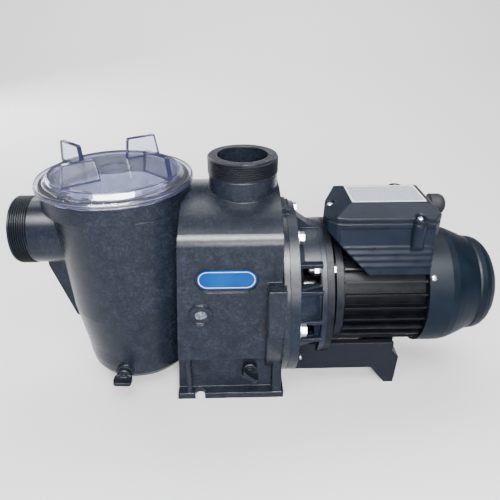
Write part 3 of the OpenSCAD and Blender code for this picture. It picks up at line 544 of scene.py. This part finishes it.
def cross_screw(radius, head, shank, reach):
    """A domed head with a cross recess; its seat is z = 0 and its shank runs down from there."""
    arm, slot = 0.55 * radius, 0.13 * radius
    bm = bmesh.new()
    bmesh.ops.create_grid(bm, x_segments=3, y_segments=3, size=0.5)
    steps = [-arm, -slot, slot, arm]
    for v in bm.verts:
        v.co = (steps[round((v.co.x + 0.5) * 3)], steps[round((v.co.y + 0.5) * 3)], head * 0.97)
    middles = [(f, f.calc_center_median()) for f in bm.faces]
    corners = [f for f, middle in middles if min(abs(middle.x), abs(middle.y)) > slot]
    bmesh.ops.delete(bm, geom=corners, context="FACES")
    cross = bm.faces[:]
    mouth = [e for e in bm.edges if e.is_boundary]
    ring = bmesh.ops.create_circle(bm, segments=24, radius=0.62 * radius)["verts"]
    for v in ring:
        v.co.z = head * 0.93
    loop = [e for e in bm.edges if e.verts[0] in ring and e.verts[1] in ring]
    bmesh.ops.bridge_loops(bm, edges=mouth + loop)
    sunk = points_in(bmesh.ops.extrude_face_region(bm, geom=cross)["geom"])
    bmesh.ops.delete(bm, geom=cross, context="FACES_ONLY")
    bmesh.ops.translate(bm, vec=(0, 0, -0.5 * head), verts=sunk)
    bmesh.ops.scale(bm, vec=(0.8, 0.8, 1.0), verts=sunk)
    dome = [(0.80 * radius, 0.80 * head), (0.93 * radius, 0.55 * head), (radius, 0.22 * head), (radius, 0.0)]
    for r, z in (*dome, (shank, 0.0), (shank, -reach + 0.0008), (shank * 0.6, -reach)):
        grown = bmesh.ops.extrude_edge_only(bm, edges=loop)["geom"]
        ring = points_in(grown)
        loop = [e for e in edges_in(grown) if set(ring).issuperset(e.verts)]
        for v in ring:
            out = Vector((v.co.x, v.co.y, 0.0)).normalized() * r
            v.co = (out.x, out.y, z)
    bmesh.ops.holes_fill(bm, edges=loop, sides=0)
    return bm


def set_of(node, make, places):
    """Like pieces in one object, each made and put at its own place, instead of the CAD node."""
    bm = bmesh.new()
    for place in places:
        gather(bm, make(), place)
    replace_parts(placed(node + "_detailed", bm, stainless, "pump"), node)


motor_axis_z = 0.105
flange_circle, motor_circle = 0.091, 0.065
motor_angles = (45, 135, 225, 315)
quarter_x = Matrix.Rotation(math.radians(90), 4, "X")
quarter_y = Matrix.Rotation(math.radians(90), 4, "Y")
half_x = Matrix.Rotation(math.radians(180), 4, "X")


def on_circle(x, pitch_radius, angle):
    """A place on a bolt circle about the motor's axis, facing +X."""
    a = math.radians(angle)
    y, z = -pitch_radius * math.cos(a), motor_axis_z + pitch_radius * math.sin(a)
    return Matrix.Translation((x, y, z)) @ quarter_y


set_of("flange_bolts", lambda: hex_bolt(radius=0.0068, head=0.0055, reach=0.0225),
       [on_circle(0.0585, flange_circle, a) for a in (0, 64, 116, 180, 244, 296)])
set_of("motor_bolts", lambda: hex_bolt(radius=0.0065, head=0.0040, reach=0.0250),
       [on_circle(0.0950, motor_circle, a) for a in motor_angles])
set_of("motor_nuts", lambda: hex_nut(radius=0.0070, height=0.0065, bore=0.0041),
       [on_circle(0.0757, motor_circle, a) for a in motor_angles])
set_of("box_screws", lambda: cross_screw(radius=0.0036, head=0.0030, shank=0.0020, reach=0.0170),
       [Matrix.Translation((x, y, 0.209)) @ Matrix.Rotation(turn, 4, "Z")
        for x, y, turn in ((0.0955, -0.006, 0.3), (0.182, -0.0465, 0.9), (0.182, 0.0465, 0.5))])
set_of("cowl_screws", lambda: cross_screw(radius=0.0035, head=0.00279, shank=0.0018, reach=0.0107),
       [Matrix.Translation((0.204, 0, motor_axis_z)) @ Matrix.Rotation(math.radians(a), 4, "X").inverted()
        @ quarter_x @ Matrix.Translation((0, 0, 0.06871)) for a in (35, 145, 270)])
set_of("cradle_screws", lambda: cross_screw(radius=0.0045, head=0.0030, shank=0.0025, reach=0.0280),
       [Matrix.Translation((0.164, y, 0.017)) @ half_x for y in (-0.030, 0.030)])
set_of("tie_screws", lambda: cross_screw(radius=0.0036, head=0.0030, shank=0.0020, reach=0.0140),
       [Matrix.Translation((0.063, y, 0.044)) @ quarter_y for y in (-0.062, 0.062)])


# ---- Shaft, rotor, bearings and stator ----
# The rotor's laminated core is pressed on a ground steel shaft that runs in two ball bearings, inside
# the stator's laminations and varnished copper windings.
ground_steel = bright_steel("ground_steel", (0.48, 0.49, 0.51), (0.62, 0.63, 0.65), rough=0.24, edge=0.0004)
dress(ground_steel, "motor_shaft", "front_bearing", "rear_bearing")
lamination = bright_steel("lamination", (0.22, 0.23, 0.25), (0.34, 0.35, 0.37), rough=0.5, edge=0.0)
dress(lamination, "rotor_core", "stator_core")
varnished_copper, tree, shader, place = shader_of("varnished_copper")
coat(tree, shader, cloud(tree, place, 500.0), (0.30, 0.10, 0.03), (0.62, 0.26, 0.09))
shader.inputs["Roughness"].default_value = 0.35
shader.inputs["Metallic"].default_value = 0.6
grain(tree, shader, cloud(tree, place, 1400.0, 2.0), 0.00012)
dress(varnished_copper, "stator_windings")


# ---- Motor housing, end shields and cowl ----
# The finned barrel is cast aluminium under black paint, the end shields are painted castings, and the
# cowl is a satin dark blue-grey moulding over the fan.


def painted(name, dark, light, scale, rough, bump_scale, bump_depth, edge):
    """A satin coat in cloudy patches, over a fine skin texture."""
    material, tree, shader, place = shader_of(name)
    coat(tree, shader, between(tree, cloud(tree, place, scale, 5.0, 0.6, 0.5), 0.35, 0.68), dark, light)
    shine = between(tree, cloud(tree, place, scale * 2, 3.0), 0.3, 0.7, rough - 0.06, rough + 0.08)
    tree.links.new(shine, shader.inputs["Roughness"])
    shader.inputs["Specular IOR Level"].default_value = 0.08
    grain(tree, shader, cloud(tree, place, bump_scale, 3.0), bump_depth, edge)
    return material


fin_black = painted("fin_black", (0.0005, 0.0007, 0.0016), (0.0022, 0.0030, 0.0056), scale=60.0,
                    rough=0.40, bump_scale=700.0, bump_depth=0.00006, edge=0.0005)
dress(fin_black, "motor_housing")
shield_grey = painted("shield_grey", (0.0020, 0.0026, 0.0044), (0.008, 0.010, 0.016), scale=90.0,
                      rough=0.46, bump_scale=600.0, bump_depth=0.00012, edge=0.0010)
dress(shield_grey, "front_end_shield", "rear_end_shield")
cowl_blue = painted("cowl_blue", (0.0010, 0.0038, 0.0084), (0.0018, 0.0056, 0.0120), scale=30.0,
                    rough=0.46, bump_scale=1300.0, bump_depth=0.00004, edge=0.0012)
dress(cowl_blue, "fan_cowl", "cooling_fan")


# ---- Terminal box ----
# A satin dark blue-grey moulded box with a sloping lid, screwed to the housing's pad. The bare silver
# foil of the rating label covers the lid's flat top, with a thin white border printed on it.
box_blue = painted("box_blue", (0.0040, 0.0066, 0.0130), (0.0066, 0.0100, 0.0185), scale=45.0,
                   rough=0.32, bump_scale=1200.0, bump_depth=0.00004, edge=0.0030)
dress(box_blue, "terminal_box_base", "terminal_box_lid")
foil, tree, shader, place = shader_of("foil")
coat(tree, shader, between(tree, cloud(tree, place, 260.0, 6.0), 0.3, 0.7), (0.30, 0.33, 0.38),
     (0.40, 0.43, 0.48))
shader.inputs["Roughness"].default_value = 0.42
shader.inputs["Metallic"].default_value = 0.35
dress(foil, "rating_label")
label_low, label_high = (Vector(c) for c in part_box("rating_label"))
inset = 0.0006
left, right = label_low.x + inset, label_high.x - inset
near, far = label_low.y + inset, label_high.y - inset
bm = bmesh.new()
bm.faces.new([bm.verts.new((x, y, label_high.z))
              for x, y in ((left, near), (right, near), (right, far), (left, far))])
banded(bm, width=0.0014, thick=-0.00012)
frame_white = flecked("frame_white", (0.62, 0.66, 0.72), (0.78, 0.82, 0.88), scale=500.0, rough=0.4)
placed("label_border", bm, frame_white, "pump")
gland_black = plain_rubber("gland_black", (0.003, 0.0034, 0.005), (0.008, 0.009, 0.013))
dress(gland_black, "cable_gland", "gland_nut")
can_metal = bright_steel("can_metal", (0.60, 0.61, 0.62), (0.74, 0.75, 0.76), rough=0.35, edge=0.0006)
dress(can_metal, "capacitor")
block_cream = flecked("block_cream", (0.52, 0.48, 0.36), (0.64, 0.60, 0.46), scale=200.0, rough=0.5)
dress(block_cream, "terminal_block")


# ---- Cradle ----
# A cradle moulded in glass-filled plastic carries the motor: two rails run from the bracket back to a
# sloping foot, and screws hold it from below and at the bracket.
cradle_black = glass_filled("cradle_black", (0.0020, 0.0030, 0.0062), (0.008, 0.011, 0.020), scale=260.0,
                            rough=(0.34, 0.50), edge=0.0010)
dress(cradle_black, "motor_cradle")


# ---- Floor and lights ----
# A plain pale sweep, as in a catalogue studio: a floor that curves up behind the pump. Soft boxes light
# it; the one named gloss only makes the streak along the shoulders.
mesh = bpy.data.meshes.new("floor")
bm = bmesh.new()
edge = bm.edges.new([bm.verts.new((x, -12.0, 0.0)) for x in (-14.0, 14.0)])
for y, z in ((1.6, 0.0), (2.2, 0.08), (2.7, 0.30), (3.1, 0.70), (3.3, 1.1)):
    grown = bmesh.ops.extrude_edge_only(bm, edges=[edge])["geom"]
    for v in points_in(grown):
        v.co.y, v.co.z = y, z
    edge = edges_in(grown)[0]
bmesh.ops.recalc_face_normals(bm, faces=bm.faces)
bm.to_mesh(mesh)
bm.free()
mesh.shade_smooth()
floor = bpy.data.objects.new("floor", mesh)
bpy.context.scene.collection.objects.link(floor)
floor_pale = flecked("floor_pale", (0.70, 0.70, 0.71), (0.74, 0.74, 0.75), scale=3.0, rough=0.8)
floor_pale.node_tree.nodes["Principled BSDF"].inputs["Specular IOR Level"].default_value = 0.0
mesh.materials.append(floor_pale)


def soft_box(name, place, aim, width, height, power, diffuse=True):
    """A rectangular lamp; without diffuse it shows in the shine only."""
    light = bpy.data.objects.new(name, bpy.data.lights.new(name, "AREA"))
    light.data.shape = "RECTANGLE"
    light.data.size = width
    light.data.size_y = height
    light.data.energy = power
    light.visible_diffuse = diffuse
    light.location = place
    light.rotation_euler = (Vector(aim) - Vector(place)).to_track_quat("-Z", "Y").to_euler()
    bpy.context.scene.collection.objects.link(light)


soft_box("overhead", (0.0, -0.62, 1.45), (0, 0, 0.12), width=1.7, height=0.60, power=18.0)
soft_box("gloss", (-0.05, -0.74, 1.40), (-0.05, -0.06, 0.15), width=1.3, height=0.52, power=300.0,
         diffuse=False)
soft_box("front", (0.12, -1.25, 0.70), (-0.06, 0, 0.12), width=0.5, height=0.5, power=50.0)
soft_box("behind", (-1.2, 1.3, 0.8), (0, 0, 0.12), width=0.8, height=0.8, power=26.0)
soft_box("sweep", (0.0, 1.5, 2.6), (0.0, 2.3, 0.0), width=4.0, height=1.6, power=190.0)
world = bpy.data.worlds.new("studio")
world.use_nodes = True
world.node_tree.nodes["Background"].inputs["Color"].default_value = (0.94, 0.96, 1.0, 1.0)
world.node_tree.nodes["Background"].inputs["Strength"].default_value = 0.18
bpy.context.scene.world = world
